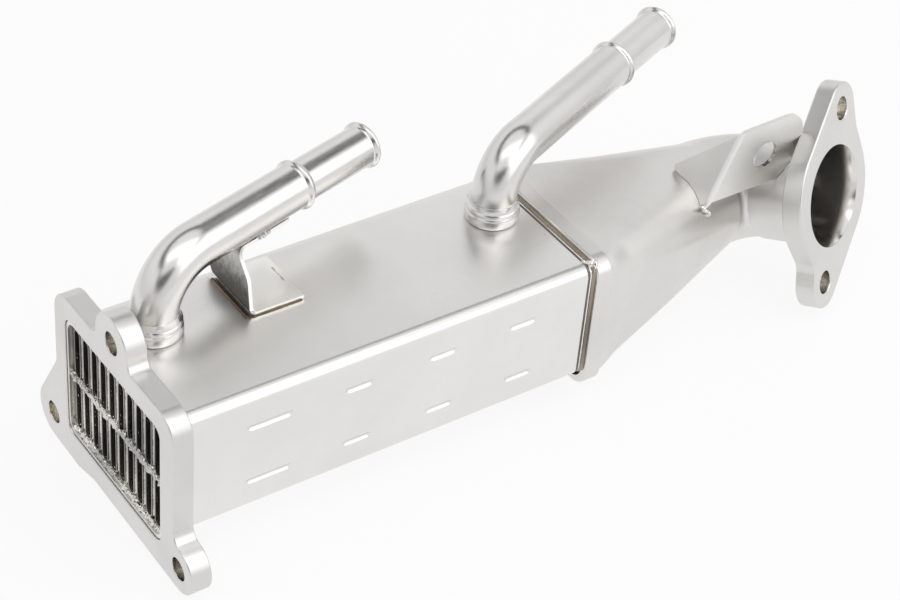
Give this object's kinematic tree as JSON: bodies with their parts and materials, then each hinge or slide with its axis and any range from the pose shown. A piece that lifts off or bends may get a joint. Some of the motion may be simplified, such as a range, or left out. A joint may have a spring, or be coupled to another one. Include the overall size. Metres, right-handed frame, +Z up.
{
  "type": "egr cooler",
  "caption": "Exhaust gas recirculation cooler: flat-tube core in a box shell, eared inlet flange, bent hose pipes, turned duct to a slanted flange.",
  "frame": {"origin": "centre of the gas opening in the front face of the inlet flange", "axes": "+X along the shell from the inlet flange to the outlet, +Z up on the side that carries the hose pipes, -Y towards the side that the outlet turns to"},
  "size_m": [0.3639, 0.131, 0.1107],
  "materials": {
    "satin_steel": "bare stainless steel, satin",
    "bright_steel": "bare stainless tube, polished",
    "core_steel": "furnace-brazed stainless sheet",
    "weld_tint": "heat-tinted weld bead"
  },
  "bodies": {
    "root": {"inlet_flange": "satin_steel", "body_shell": "satin_steel", "diffuser": "satin_steel", "outlet_flange": "satin_steel", "front_pipe_bracket": "satin_steel", "rear_bracket": "satin_steel", "coolant_pipe_front": "bright_steel", "coolant_pipe_rear": "bright_steel", "coolant_collar_front": "bright_steel", "coolant_collar_rear": "bright_steel", "flat_tube_01": "core_steel", "flat_tube_02": "core_steel", "flat_tube_03": "core_steel", "flat_tube_04": "core_steel", "flat_tube_05": "core_steel", "flat_tube_06": "core_steel", "flat_tube_07": "core_steel", "flat_tube_08": "core_steel", "flat_tube_09": "core_steel", "flat_tube_10": "core_steel", "flat_tube_11": "core_steel", "flat_tube_12": "core_steel", "flat_tube_13": "core_steel", "flat_tube_14": "core_steel", "flat_tube_15": "core_steel", "flat_tube_16": "core_steel", "flat_tube_17": "core_steel", "flat_tube_18": "core_steel", "flat_tube_19": "core_steel", "flat_tube_20": "core_steel", "front_header": "core_steel", "rear_header": "core_steel", "front_baffle": "core_steel", "rear_baffle": "core_steel", "seam_weld_front": "weld_tint", "seam_weld_rear": "weld_tint"}
  },
  "joints": []
}
